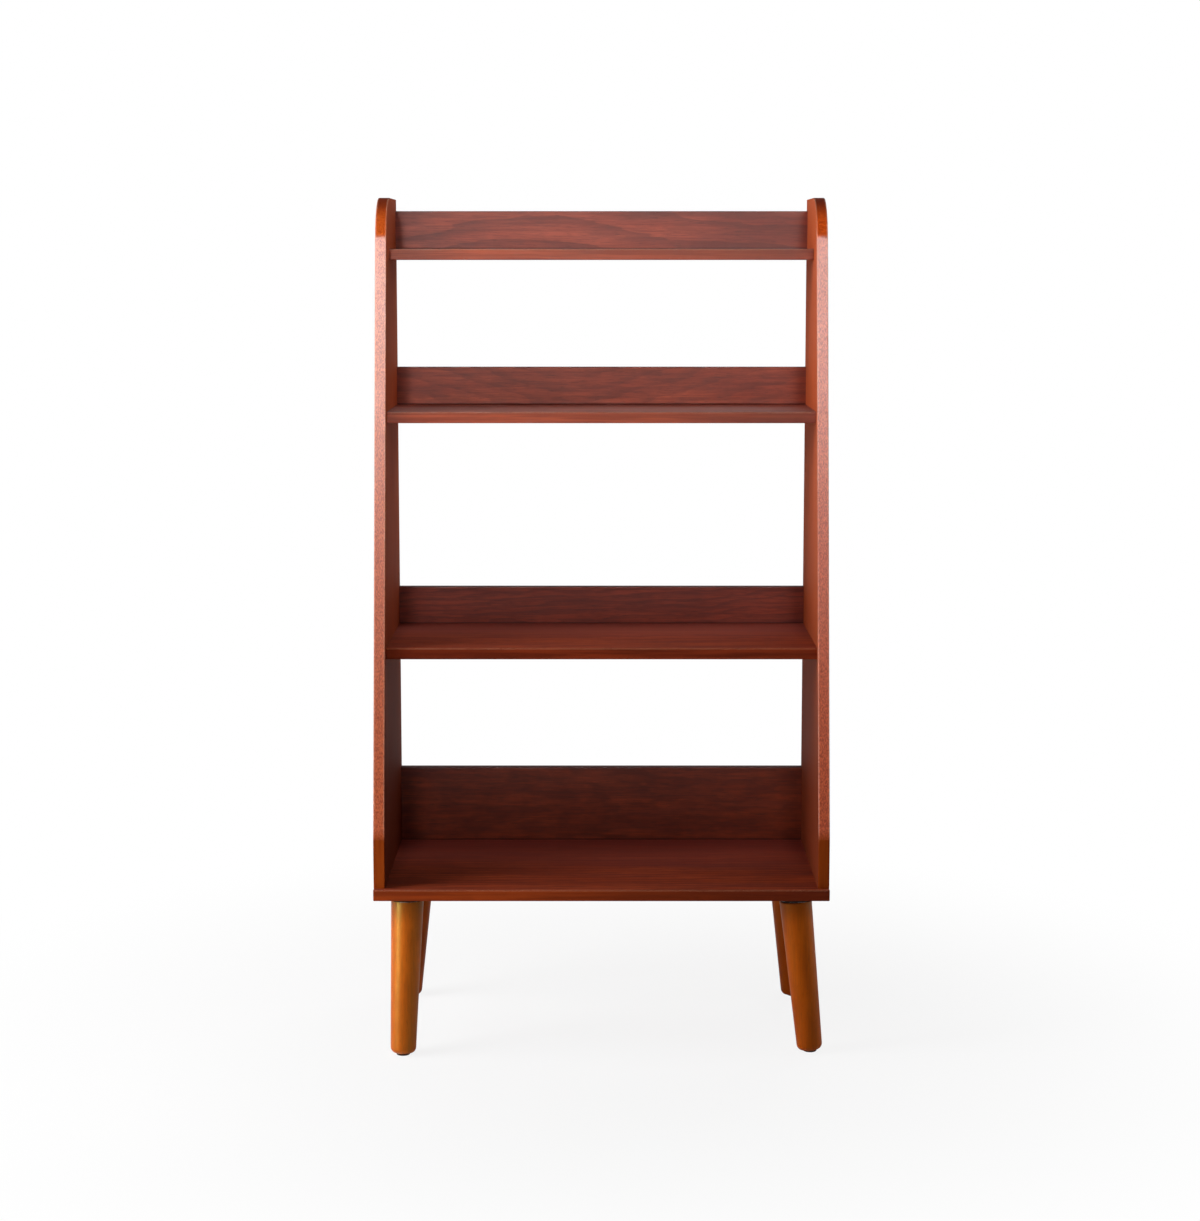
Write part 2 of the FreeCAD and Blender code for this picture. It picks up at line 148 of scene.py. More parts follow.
board_tones = ((0.37, 0.057, 0.016, 1), (0.27, 0.037, 0.010, 1), (0.10, 0.014, 0.006, 1))
board_band = ((0.22, 0.027, 0.006, 1), (0.12, 0.014, 0.003, 1))
veneer_purple = (0.13, 0.027, 0.021, 1)
# The rubbed tone lightens arrises, partly as wear and partly as a painted highlight.
veneer_wear_and_highlight = (0.78, 0.35, 0.21, 1)
veneer_pore = (0.045, 0.008, 0.005, 1)
# End grain tone, also used as painted shade on the banding.
end_grain_and_shade_tone = (0.10, 0.011, 0.003, 1)
lengthwise_grain = (0.0, 0.0, 0.0)
upright_grain = (0.0, -math.pi / 2, 0.0)
widthwise, depthwise, heightwise = 0, 1, 2
upward = (0, 0, 1)
sideways = (1, 0, 0)
satin = 0.36
varnish_gloss = 0.5
coat_density = 1.8
# Width of the arrises lightened by wear and by a painted highlight.
wear_and_highlight_width = 0.0034
bow_reach = 0.2
bend_blur = 0.022
seam_top = 0.0026
seam_full = 0.0010


def veneer(name, broad_side, grain, heart, tones, ring_gap, lean, sway, streaks, bow=0.0, deep=0.0,
           mottle=0.12, matt=satin, edge_matt=satin, polish=varnish_gloss, shine=0.0, band=0.1,
           band_tones=board_band, slope_tones=board_band, band_shade=None, rub_and_highlight=0.75, rub_highlight_side=upward,
           rub_highlight_tone=veneer_wear_and_highlight, foot=None, bend=None, inside=None, fade=None):
    """Varnished walnut veneer. The heart is the middle of the tree, whose rings show on the face as lines.
    They lean and bow along the grain and sway about. Streaks, deep and mottle say how dark the lines, the
    fibres and the curl across them are. Matt is how dull the varnish is on the broad faces and edge_matt on
    the edges, polish is how strongly it mirrors, and shine is a further coat on a sloping edge. Band is the
    share of the edges that banding covers, and the slope tones are its tones where the edge slopes, lighter
    there on the panels as a painted highlight. Rub is the share of the arrises on one side that is
    lightened, partly as wear and partly as a painted highlight.
    Foot is the height of a dark seam, and bend the height at which a sloping edge starts.
    A fade is an axis, two places along it, and the share and tone of a tint that grows between them; it
    paints shade on some pieces and a reflection on others.
    A band fade is two places across the board and the share of painted shade that darkens the banding
    between them.
    Inside is the direction of one face, and the share and tone of painted light on it."""
    finish, shader = new_finish(name)
    along_grain = sideways if grain == lengthwise_grain else upward
    place = surface_place(finish)
    facing = true_face(finish)
    rise = axes(finish, facing)[heightwise]
    height_up = axes(finish, place)[heightwise]
    log = log_place(finish, place, heart, grain)

    # The rings, counted from the heart.
    along = axes(finish, log)[0]
    across = step(finish, "VectorMath", {0: log, 1: (0, 1, 1)}, operation="MULTIPLY").outputs[0]
    ring = step(finish, "VectorMath", {0: across}, operation="LENGTH").outputs["Value"]
    ring = sums(finish, "ADD", ring, sums(finish, "MULTIPLY", along, lean))
    squared = sums(finish, "MULTIPLY", along, along)
    levelled = sums(finish, "ADD", sums(finish, "DIVIDE", squared, bow_reach ** 2), 1.0)
    sweep = sums(finish, "DIVIDE", squared, levelled)
    ring = sums(finish, "ADD", ring, sums(finish, "MULTIPLY", sweep, bow))
    wander = sums(finish, "MULTIPLY", lumps(finish, log, (3.6, 18, 18), 4.0, 0.55), sway)
    ripple = sums(finish, "MULTIPLY", lumps(finish, log, (14, 90, 90), 3.0), sway * 0.35)
    ring = sums(finish, "ADD", ring, sums(finish, "ADD", wander, ripple))
    ring = sums(finish, "FRACT", sums(finish, "DIVIDE", ring, ring_gap))
    late_wood = sums(finish, "MULTIPLY", spread(finish, ring, 0.35, 0.90), spread(finish, ring, 1.0, 0.93))

    # The colours of the face, from the broad clouds down to the pores, then painted light and shade laid on
    # it.
    cloud = lumps(finish, log, (5, 34, 34), 3.0, 0.55)
    shade = lumps(finish, log, (2.2, 26, 26))
    curl = lumps(finish, log, (30, 75, 75), 3.0, 0.6)
    streak = lumps(finish, log, (7, 190, 190), 3.0, 0.6)
    fibre = lumps(finish, log, (24, 420, 420), 3.0, 0.66)
    pore = spread(finish, lumps(finish, log, (60, 1500, 1500), 1.0), 0.60, 0.70)
    early_pale, early_brown, late_dark = tones
    colour = tint(finish, spread(finish, cloud, 0.32, 0.70), early_brown, early_pale)
    colour = tint(finish, sums(finish, "MULTIPLY", late_wood, streaks), colour, late_dark)
    colour = tint(finish, spread(finish, shade, 0.50, 0.72, 0.0, 0.55), colour, veneer_purple)
    colour = tint(finish, spread(finish, curl, 0.58, 0.36, 0.0, mottle), colour, late_dark)
    colour = tint(finish, spread(finish, streak, 0.58, 0.36, 0.0, 0.25), colour, late_dark)
    colour = tint(finish, spread(finish, fibre, 0.60, 0.38, deep, deep + 0.42), colour, late_dark)
    colour = tint(finish, sums(finish, "MULTIPLY", pore, 0.5), colour, veneer_pore)
    # Painted light: one face is tinted lighter by a share.
    if inside:
        inner_side, share, tone = inside
        inner = spread(finish, likeness(finish, facing, inner_side), 0.70, 0.95, 0.0, share)
        colour = tint(finish, inner, colour, tone)
    # Painted shade, and on some pieces a painted reflection, growing along one axis.
    if fade:
        axis, start, end, share, tone = fade
        faded = spread(finish, axes(finish, place)[axis], start, end, 0.0, share)
        colour = tint(finish, faded, colour, tone)

    # The edges: streaked banding, lighter where it slopes as a painted highlight and flecked there, then
    # painted shade toward one end, dark end grain partly deepened as painted shade, a seam, and arrises
    # lightened partly by wear and partly as a painted highlight.
    edge = spread(finish, sums(finish, "ABSOLUTE", likeness(finish, facing, broad_side)), 0.95, 0.60)
    past_bend = 1.0 if bend is None else spread(finish, height_up, bend, bend + bend_blur)
    sloped = sums(finish, "MULTIPLY", spread(finish, rise, 0.04, 0.12), past_bend)
    banding = tint(finish, spread(finish, streak, 0.36, 0.62), band_tones[1], band_tones[0])
    fleck = lumps(finish, log, (300, 1100, 1100), 1.0)
    # Painted highlight: where the edge slopes, its banding takes lighter tones.
    slope_banding = tint(finish, spread(finish, fleck, 0.36, 0.62), slope_tones[1], slope_tones[0])
    banding = tint(finish, sloped, banding, slope_banding)
    # Painted shade: the banding darkens toward one end.
    if band_shade:
        start, end, share = band_shade
        darkened = spread(finish, axes(finish, place)[widthwise], start, end, 0.0, share)
        banding = tint(finish, darkened, banding, end_grain_and_shade_tone)
    colour = tint(finish, sums(finish, "MULTIPLY", edge, band), colour, banding)
    # End grain is darkened, partly for its own darker colour and partly as painted shade on the panels'
    # round tops.
    end_grain_and_shade = sums(finish, "ABSOLUTE", likeness(finish, facing, along_grain))
    colour = tint(finish, spread(finish, end_grain_and_shade, 0.45, 0.95, 0.0, 0.9), colour, end_grain_and_shade_tone)
    if foot is not None:
        seam = spread(finish, height_up, foot + seam_top, foot + seam_full, 0.0, 0.7)
        colour = tint(finish, seam, colour, veneer_pore)
    # Arrises on one side lightened, partly as wear and partly as a painted highlight.
    if rub_and_highlight:
        joined_side = along_grain if rub_highlight_side == upward else None
        rubbed_and_highlit = sums(finish, "MULTIPLY", arris_wear_and_highlight(finish, wear_and_highlight_width, rub_highlight_side, joined_side), rub_and_highlight)
        colour = tint(finish, sums(finish, "MULTIPLY", rubbed_and_highlit, past_bend), colour, rub_highlight_tone)
    feed(finish, shader.inputs["Base Color"], colour)

    # The varnish, with its further coat on a sloping edge.
    face_roughness = spread(finish, fibre, 0.30, 0.70, matt - 0.03, matt + 0.03)
    edge_roughness = spread(finish, edge, 0.0, 1.0, 0.0, edge_matt - matt)
    feed(finish, shader.inputs["Roughness"], sums(finish, "ADD", face_roughness, edge_roughness))
    shader.inputs["Specular IOR Level"].default_value = polish
    relief = sums(finish, "SUBTRACT", sums(finish, "MULTIPLY", fibre, 0.5), pore)
    bump = skin(finish, shader, relief, 0.12, 0.0004)
    if shine:
        coated = sums(finish, "MULTIPLY", sloped, spread(finish, rise, 0.26, 0.18, 0.0, shine))
        coated = sums(finish, "MULTIPLY", coated, spread(finish, fleck, 0.34, 0.60, 0.7, 1.0))
        feed(finish, shader.inputs["Coat Weight"], sums(finish, "MULTIPLY", edge, coated))
        shader.inputs["Coat Roughness"].default_value = satin
        shader.inputs["Coat IOR"].default_value = coat_density
        feed(finish, shader.inputs["Coat Normal"], bump)
    return finish


dried_matt = 0.85
dried_gloss = 0.08
base_band = ((0.32, 0.047, 0.005, 1), (0.21, 0.029, 0.003, 1))
# Painted reflection: the top of the base is tinted purple-grey toward the back, where it mirrors the rail.
base_back_reflection_tone = (0.36, 0.070, 0.055, 1)
base_reflecting_back = stretch("base_board", depthwise, 0.25, 0.95)
# Painted shade: the base's banding darkens toward its right end.
base_shaded_right = stretch("base_board", widthwise, 0.15, 0.98)
base_veneer = veneer("base_veneer", upward, lengthwise_grain, spot("base_board", 0.67, 0.70, -3.4),
                     board_tones, ring_gap=0.011, lean=0.020, sway=0.030, streaks=0.45, matt=dried_matt,
                     edge_matt=dried_matt, polish=dried_gloss, band=0.8, band_tones=base_band,
                     band_shade=(*base_shaded_right, 0.9), fade=(depthwise, *base_reflecting_back, 0.65, base_back_reflection_tone))
dress(base_veneer, "base_board")


# Leg plates: four round plates pressed from sheet steel, one under each corner of the base board.
# The seat of each is tilted, which gives its leg the lean. They are dipped in brown-black lacquer, which has
# chipped off here and there along the rims.
lacquer_dark = (0.014, 0.007, 0.004, 1)
lacquer_dusty = (0.030, 0.016, 0.010, 1)
lacquer_gloss = 0.08
bare_steel = (0.42, 0.41, 0.40, 1)
plate_rim_wear = 0.0012


def dipped_lacquer(name):
    """Brown-black lacquer with a fine orange-peel skin over pressed steel."""
    finish, shader = new_finish(name)
    place = surface_place(finish)
    dust = lumps(finish, place, (60, 60, 60), 4.0, 0.6)
    peel = lumps(finish, place, (900, 900, 900))
    chipped = sums(finish, "MULTIPLY", arris_wear_and_highlight(finish, plate_rim_wear), spread(finish, dust, 0.48, 0.60))
    colour = tint(finish, spread(finish, dust, 0.35, 0.75), lacquer_dark, lacquer_dusty)
    feed(finish, shader.inputs["Base Color"], tint(finish, chipped, colour, bare_steel))
    feed(finish, shader.inputs["Metallic"], chipped)
    feed(finish, shader.inputs["Roughness"], spread(finish, dust, 0.30, 0.70, 0.50, 0.66))
    shader.inputs["Specular IOR Level"].default_value = lacquer_gloss
    skin(finish, shader, peel, 0.10, 0.0002)
    return finish


dress(dipped_lacquer("leg_plate_lacquer"), "front_left_leg_plate", "front_right_leg_plate",
      "rear_left_leg_plate", "rear_right_leg_plate")


# Leg plate screws: four countersunk wood screws hold each plate to the base board.
# They are rolled from steel wire and plated with bright zinc, which is stained a little by handling.
zinc_bright = (0.62, 0.62, 0.60, 1)
zinc_stained = (0.42, 0.41, 0.36, 1)


def zinc_plating(name):
    """Bright zinc on drawn steel, with faint upright lines."""
    finish, shader = new_finish(name)
    place = surface_place(finish)
    stain_and_shade = lumps(finish, place, (160, 160, 160), 3.0, 0.6)
    drawn = lumps(finish, place, (2600, 2600, 300))
    colour = tint(finish, spread(finish, stain_and_shade, 0.38, 0.70), zinc_bright, zinc_stained)
    feed(finish, shader.inputs["Base Color"], colour)
    shader.inputs["Metallic"].default_value = 1.0
    feed(finish, shader.inputs["Roughness"], spread(finish, stain_and_shade, 0.30, 0.70, 0.22, 0.42))
    skin(finish, shader, drawn, 0.08, 0.0001)
    return finish


bright_zinc = zinc_plating("fastener_zinc")
dress(bright_zinc, "leg_plate_screws")


# Legs: four tapered legs turned from pale hardwood, stained a honey colour and varnished.
# Each leans outward from its plate on a hanger bolt, and its foot is rounded over. Their heads darken as
# painted shade under the base board, and the rear legs, and the front right leg a little, are darker all
# over as painted shade.
leg_honey = (0.52, 0.088, 0.001, 1)
leg_amber = (0.41, 0.058, 0.001, 1)
leg_dark = (0.17, 0.024, 0.001, 1)
leg_varnish = (1.0, 0.93, 0.20, 1)
# Painted shade: the heads of the legs darken below the base board.
head_shade_start = 0.034
head_shade_full = 0.006
head_shade = 0.5


def turned_wood(name, heart, head, polish, stain_and_shade):
    """Stained and varnished hardwood, its grain upright. Head is the height of the leg's top.
    The last argument darkens the whole leg as painted shade, and the top below the head is darkened further
    as painted shade.
    """
    finish, shader = new_finish(name)
    place = surface_place(finish)
    log = log_place(finish, place, heart, upright_grain)
    cloud = lumps(finish, log, (9, 40, 40), 3.0)
    fibre = lumps(finish, log, (16, 420, 420), 3.0, 0.6)
    fleck = spread(finish, lumps(finish, log, (110, 900, 900), 1.0), 0.64, 0.72)
    colour = tint(finish, spread(finish, cloud, 0.30, 0.70), leg_amber, leg_honey)
    colour = tint(finish, spread(finish, fibre, 0.60, 0.35, 0.0, 0.30), colour, leg_dark)
    colour = tint(finish, sums(finish, "MULTIPLY", fleck, 0.4), colour, leg_dark)
    height_up = axes(finish, place)[heightwise]
    # Painted shade over the whole leg, and more toward its head.
    head_and_leg_shade = spread(finish, height_up, head - head_shade_start, head - head_shade_full,
                     stain_and_shade, stain_and_shade + head_shade)
    feed(finish, shader.inputs["Base Color"], tint(finish, head_and_leg_shade, colour, leg_dark))
    feed(finish, shader.inputs["Roughness"], spread(finish, fibre, 0.30, 0.70, 0.36, 0.46))
    shader.inputs["Specular IOR Level"].default_value = polish
    shader.inputs["Specular Tint"].default_value = leg_varnish
    skin(finish, shader, fibre, 0.08, 0.0003)
    return finish


# Painted shade: the last number darkens the rear legs and the front right leg.
for leg_name, polish, stain_and_shade in (("front_left_leg", 0.9, 0.0), ("front_right_leg", 0.4, 0.1),
                                ("rear_left_leg", 0.2, 0.5), ("rear_right_leg", 0.2, 0.5)):
    head = spot(leg_name, 0, 0, 1)[heightwise]
    dress(turned_wood(leg_name + "_wood", spot(leg_name, 0.9, 1.2, 0.5), head, polish, stain_and_shade), leg_name)


# Hanger bolts: one in the head of each leg, wood thread below and machine thread above.
# They are plated like the screws, and hidden once the leg is turned tight against its plate.
dress(bright_zinc, "leg_hanger_bolts")


# Foot glides: a disc of dark moulded plastic with a nail in it, driven into the end of each leg.
# It has the fine pebbled skin of its mould, and its rim is scuffed pale by the floor.
glide_dark = (0.040, 0.013, 0.004, 1)
glide_scuffed = (0.075, 0.030, 0.012, 1)
glide_gloss = 0.2
glide_rim_wear = 0.0010


def moulded_plastic(name):
    """Dark matt plastic with a pebbled skin."""
    finish, shader = new_finish(name)
    place = surface_place(finish)
    pebble = lumps(finish, place, (1500, 1500, 1500))
    scuff = spread(finish, lumps(finish, place, (240, 240, 240), 4.0, 0.65), 0.45, 0.70)
    worn = sums(finish, "MAXIMUM", arris_wear_and_highlight(finish, glide_rim_wear), scuff)
    feed(finish, shader.inputs["Base Color"], tint(finish, worn, glide_dark, glide_scuffed))
    feed(finish, shader.inputs["Roughness"], spread(finish, pebble, 0.30, 0.70, 0.60, 0.78))
    shader.inputs["Specular IOR Level"].default_value = glide_gloss
    skin(finish, shader, pebble, 0.20, 0.0002)
    return finish


dress(moulded_plastic("glide_plastic"), "foot_glides")


# Side panels: two mirrored 15 mm veneered boards, sawn to a sloping front edge with a round top corner.
# They stand on the base on dowels and are pulled down by long screws from below. Their grain is upright.
# The faces are matt, darker toward the foot as painted shade, and tinted lighter orange on the inner sides
# as painted light. The sloping edges are sanded and varnished once more, and their banding there is lighter
# as a painted highlight, as is the arris along the front.
panel_tones = ((0.36, 0.060, 0.020, 1), (0.26, 0.037, 0.012, 1), (0.09, 0.013, 0.006, 1))
panel_band = ((0.34, 0.056, 0.004, 1), (0.25, 0.037, 0.003, 1))
# Painted highlight: the banding where the front edge slopes is lighter than at the foot.
left_slope_highlight_band = ((0.70, 0.122, 0.011, 1), (0.36, 0.042, 0.003, 1))
right_slope_highlight_band = ((0.86, 0.122, 0.011, 1), (0.46, 0.044, 0.003, 1))
# Painted light: the panels' inner faces are tinted a lighter orange.
panel_inside_light_tone = (0.72, 0.150, 0.050, 1)
# Painted shade: the panels' faces darken toward the foot.
panel_foot_shade_tone = (0.05, 0.004, 0.001, 1)
# Painted highlight, with some wear: the pale line on the panels' front arrises.
panel_wear_and_highlight = (0.95, 0.60, 0.40, 1)
panel_matt = 0.75
panel_edge_matt = 0.87
panel_gloss = 0.05
panel_bend_share = 0.065
forward = (0, -1, 0)
for side, heart, lean, inner_side, inside_light_share, slope_highlight_band in (
        ("left", (-2.7, 0.6, 0.08), 0.022, (1, 0, 0), 0.54, left_slope_highlight_band),
        ("right", (4.3, 0.7, 0.36), -0.020, (-1, 0, 0), 0.58, right_slope_highlight_band)):
    panel_name = side + "_side_panel"
    panel_shaded_low = stretch(panel_name, heightwise, 0.64, 0.10)
    panel_bend = spot(panel_name, 0, 0, panel_bend_share)[heightwise]
    panel_veneer = veneer(side + "_panel_veneer", sideways, upright_grain, spot(panel_name, *heart),
                          panel_tones, ring_gap=0.012, lean=lean, sway=0.034, streaks=0.45, matt=panel_matt,
                          edge_matt=panel_edge_matt, polish=panel_gloss, shine=1.0, band=0.8,
                          band_tones=panel_band, slope_tones=slope_highlight_band, rub_highlight_side=forward,
                          rub_highlight_tone=panel_wear_and_highlight, bend=panel_bend,
                          inside=(inner_side, inside_light_share, panel_inside_light_tone),
                          fade=(heightwise, *panel_shaded_low, 0.75, panel_foot_shade_tone))
    dress(panel_veneer, panel_name)


# Panel dowels and screws: bare beech dowels place each panel on the base board, and long plated screws
# from below pull it down. The dowels are cut from rod and left unvarnished.
beech_pale = (0.56, 0.36, 0.19, 1)
beech_brown = (0.42, 0.23, 0.10, 1)
beech_fleck = (0.27, 0.13, 0.05, 1)


def bare_beech(name, grain):
    """Unvarnished beech with its short brown flecks."""
    finish, shader = new_finish(name)
    log = log_place(finish, surface_place(finish), (0, 0, 0), grain)
    fibre = lumps(finish, log, (30, 700, 700), 3.0, 0.6)
    fleck = spread(finish, lumps(finish, log, (260, 1500, 1500), 1.0), 0.60, 0.70)
    colour = tint(finish, spread(finish, fibre, 0.35, 0.68), beech_pale, beech_brown)
    feed(finish, shader.inputs["Base Color"], tint(finish, fleck, colour, beech_fleck))
    feed(finish, shader.inputs["Roughness"], spread(finish, fibre, 0.30, 0.70, 0.62, 0.78))
    skin(finish, shader, fibre, 0.15, 0.0003)
    return finish


upright_beech = bare_beech("upright_beech", upright_grain)
dress(upright_beech, "panel_foot_dowels")
dress(bright_zinc, "panel_foot_screws")


# Shelves: three veneered boards between the panels, each shallower than the one below it.
# Cam fittings in their undersides pull them against the panels. Their grain runs from end to end.
# The varnish is satin on the top shelf, duller on the middle one, and matt like the base on the lower one.
# The banding of each shelf darkens toward one end as painted shade, and the lower shelf's banding is darker
# than the upper ones' as painted shade. Their upper arrises are lightened, partly as wear and partly as a
# painted highlight. The lower shelf's top turns purple-grey toward the back as a painted reflection of the
# rail.
# Painted light and shade: the upper shelves' banding is lighter than the lower shelf's.
shelf_band = ((0.49, 0.082, 0.025, 1), (0.30, 0.044, 0.013, 1))
# Painted reflection: the top of the lower shelf is tinted purple-grey toward the back, where it mirrors the
# rail.
lower_back_reflection_tone = (0.31, 0.072, 0.054, 1)
middle_matt = 0.66
lower_reflecting_back = stretch("lower_shelf", depthwise, 0.2, 0.9)
# Painted shade: the lower shelf's banding darkens toward its left end.
lower_shaded_left = stretch("lower_shelf", widthwise, 0.40, 0.05)
lower_heart = spot("lower_shelf", 0.41, 0.46, -2.2)
lower_veneer = veneer("lower_shelf_veneer", upward, lengthwise_grain, lower_heart, board_tones,
                      ring_gap=0.010, lean=0.016, sway=0.028, streaks=0.4, matt=dried_matt,
                      edge_matt=dried_matt, polish=dried_gloss, band=0.9, band_shade=(*lower_shaded_left, 0.6),
                      fade=(depthwise, *lower_reflecting_back, 0.75, lower_back_reflection_tone))
dress(lower_veneer, "lower_shelf")
# Painted shade: the middle shelf's banding darkens toward its right end.
middle_shaded_right = stretch("middle_shelf", widthwise, 0.55, 0.95)
middle_heart = spot("middle_shelf", 0.71, 0.46, -2.8)
middle_veneer = veneer("middle_shelf_veneer", upward, lengthwise_grain, middle_heart, board_tones,
                       ring_gap=0.010, lean=-0.018, sway=0.028, streaks=0.4, matt=middle_matt,
                       band=0.7, band_tones=shelf_band, band_shade=(*middle_shaded_right, 0.5))
dress(middle_veneer, "middle_shelf")
# Painted shade: the top shelf's banding darkens toward its right end.
top_shaded_right = stretch("top_shelf", widthwise, 0.55, 0.95)
top_heart = spot("top_shelf", 0.15, 0.36, -1.8)
top_veneer = veneer("top_shelf_veneer", upward, lengthwise_grain, top_heart, board_tones,
                    ring_gap=0.010, lean=0.016, sway=0.028, streaks=0.4,
                    band=0.7, band_tones=shelf_band, band_shade=(*top_shaded_right, 0.5))
dress(top_veneer, "top_shelf")


# Shelf fittings: a plated cam bolt in the panel and a die-cast zinc disc in the shelf, turned to pull tight.
# A beech dowel beside them keeps the shelf level. The discs show as dull grey spots in the undersides.
cast_pale = (0.54, 0.54, 0.53, 1)
cast_grey = (0.36, 0.36, 0.36, 1)


def cast_zinc(name):
    """Die-cast zinc, dull and slightly mottled, with a grainy skin."""
    finish, shader = new_finish(name)
    place = surface_place(finish)
    mottle = lumps(finish, place, (320, 320, 320), 3.0, 0.6)
    grit = lumps(finish, place, (2200, 2200, 2200))
    colour = tint(finish, spread(finish, mottle, 0.35, 0.70), cast_pale, cast_grey)
    feed(finish, shader.inputs["Base Color"], colour)
    shader.inputs["Metallic"].default_value = 1.0
    feed(finish, shader.inputs["Roughness"], spread(finish, mottle, 0.30, 0.70, 0.40, 0.58))
    skin(finish, shader, grit, 0.15, 0.0002)
    return finish


dull_zinc = cast_zinc("cam_zinc")
lengthwise_beech = bare_beech("lengthwise_beech", lengthwise_grain)
dress(bright_zinc, "shelf_cam_bolts")
dress(dull_zinc, "shelf_cam_discs")
dress(lengthwise_beech, "shelf_end_dowels")


# Back rails: a low veneered board stands at the back of the base and of each shelf, and stops the books.
# Dowels hold them to the board below and cam fittings to the panels. The lowest is twice as tall.
# Their edges are darkened as painted shade, and a fine dark seam runs along the foot of each.
# The upper rails have lighter tones than the lower ones, and the base rail's fibres are darker, partly as
# painted light and shade. The top rail turns purple toward its right end as painted shade.
# Painted shade: the rails' edges, their tops among them, are banded near-black.
rail_shade_band = ((0.080, 0.013, 0.007, 1), (0.050, 0.008, 0.004, 1))
rail_edge_matt = 0.90
# Painted light and shade: the higher a rail stands, the lighter its tones.
lower_rail_tones = ((0.335, 0.048, 0.021, 1), (0.24, 0.032, 0.0135, 1), (0.093, 0.016, 0.011, 1))
middle_rail_tones = ((0.45, 0.076, 0.031, 1), (0.325, 0.047, 0.019, 1), (0.125, 0.022, 0.014, 1))
top_rail_tones = ((0.50, 0.090, 0.042, 1), (0.36, 0.054, 0.025, 1), (0.14, 0.025, 0.018, 1))
backward = (0, 1, 0)


def face_rail(which, heart, tones, **figure):
    """Lays a back rail's veneer, with the figure of its grain."""
    rail_name = which + "_back_rail"
    rail_foot = spot(rail_name, 0, 0, 0)[heightwise]
    finish = veneer(which + "_rail_veneer", backward, lengthwise_grain, spot(rail_name, *heart), tones,
                    edge_matt=rail_edge_matt, band=1.0, band_tones=rail_shade_band, slope_tones=rail_shade_band, rub_and_highlight=0.0,
                    foot=rail_foot, **figure)
    dress(finish, rail_name)


# Painted shade: the top rail turns purple toward its right end.
top_rail_shaded_right = stretch("top_back_rail", widthwise, 0.6, 0.95)
# Partly painted shade: the base rail's fibres are darker.
face_rail("base", (0.53, 2.3, 0.33), board_tones, ring_gap=0.013, lean=0.045, sway=0.050, streaks=0.40,
          deep=0.28, mottle=0.4)
face_rail("lower", (0.32, 1.7, -0.4), lower_rail_tones, ring_gap=0.008, lean=-0.050, sway=0.030,
          streaks=0.50, deep=0.12)
face_rail("middle", (0.42, 2.0, 2.0), middle_rail_tones, ring_gap=0.020, lean=0.0, sway=0.045,
          streaks=0.35, bow=2.5, mottle=0.28)
face_rail("top", (0.32, 2.0, -1.5), top_rail_tones, ring_gap=0.034, lean=0.0, sway=0.060, streaks=0.60,
          bow=1.6, fade=(widthwise, *top_rail_shaded_right, 0.35, veneer_purple))


# Rail fittings: the same cam bolts, discs and dowels at the ends of each rail, with the discs in its back.
# Three more dowels stand it on the board below.
dress(bright_zinc, "rail_cam_bolts")
dress(dull_zinc, "rail_cam_discs")
dress(lengthwise_beech, "rail_end_dowels")
dress(upright_beech, "rail_foot_dowels")


# Floor: a wide sheet of pale matt card, just under the glides. It takes the bookcase's shadow near the legs
# and is plain white further off. Gloss on the bookcase mirrors it white far behind and far in front, and
# shaded where it is near.
floor_width = 40
floor_drop = 0.0005
floor_grey = (0.8, 0.8, 0.8, 1)
floor_matt = 0.9
plain_white = (1, 1, 1, 1)
shadow_near = 0.25
shadow_far = 1.1
white_near = 0.86
mirrored_behind = (0.5, 1.2)
mirrored_ahead = (-4.0, -6.0)


def mirrored_ray(finish, path):
    """1 where a surface is seen in gloss or through glass."""
    return sums(finish, "MAXIMUM", path.outputs["Is Glossy Ray"], path.outputs["Is Transmission Ray"])


def seen_white(finish, share, lit, white, end):
    """Shows plain white over what is lit, by a share."""
    mixed = step(finish, "MixShader", {0: share, 1: lit.outputs[0], 2: white.outputs[0]})
    feed(finish, finish.node_tree.nodes[end].inputs["Surface"], mixed.outputs[0])


bpy.ops.mesh.primitive_plane_add(size=floor_width, location=(0, 0, -floor_drop))
floor = bpy.context.object
floor.name = "floor"
floor_finish, floor_shader = new_finish("pale_floor")
floor_shader.inputs["Base Color"].default_value = floor_grey
floor_shader.inputs["Roughness"].default_value = floor_matt
floor_shader.inputs["Specular IOR Level"].default_value = 0.0
floor_path = step(floor_finish, "LightPath", {})
floor_place = step(floor_finish, "NewGeometry", {}).outputs["Position"]
floor_depth = axes(floor_finish, floor_place)[depthwise]
behind = spread(floor_finish, floor_depth, *mirrored_behind)
ahead = spread(floor_finish, floor_depth, *mirrored_ahead)
floor_mirrored = sums(floor_finish, "ADD", behind, ahead)
floor_mirrored = sums(floor_finish, "MULTIPLY", mirrored_ray(floor_finish, floor_path), floor_mirrored)
floor_shown = sums(floor_finish, "MAXIMUM", floor_path.outputs["Is Camera Ray"], floor_mirrored)
away = step(floor_finish, "VectorMath", {0: floor_place}, operation="LENGTH").outputs["Value"]
whiteness = spread(floor_finish, away, shadow_near, shadow_far, white_near, 1.0)
floor_shown = sums(floor_finish, "MULTIPLY", floor_shown, whiteness)
floor_white = step(floor_finish, "Emission", {"Color": plain_white, "Strength": 1.0})
seen_white(floor_finish, floor_shown, floor_shader, floor_white, "Material Output")
floor.data.materials.append(floor_finish)


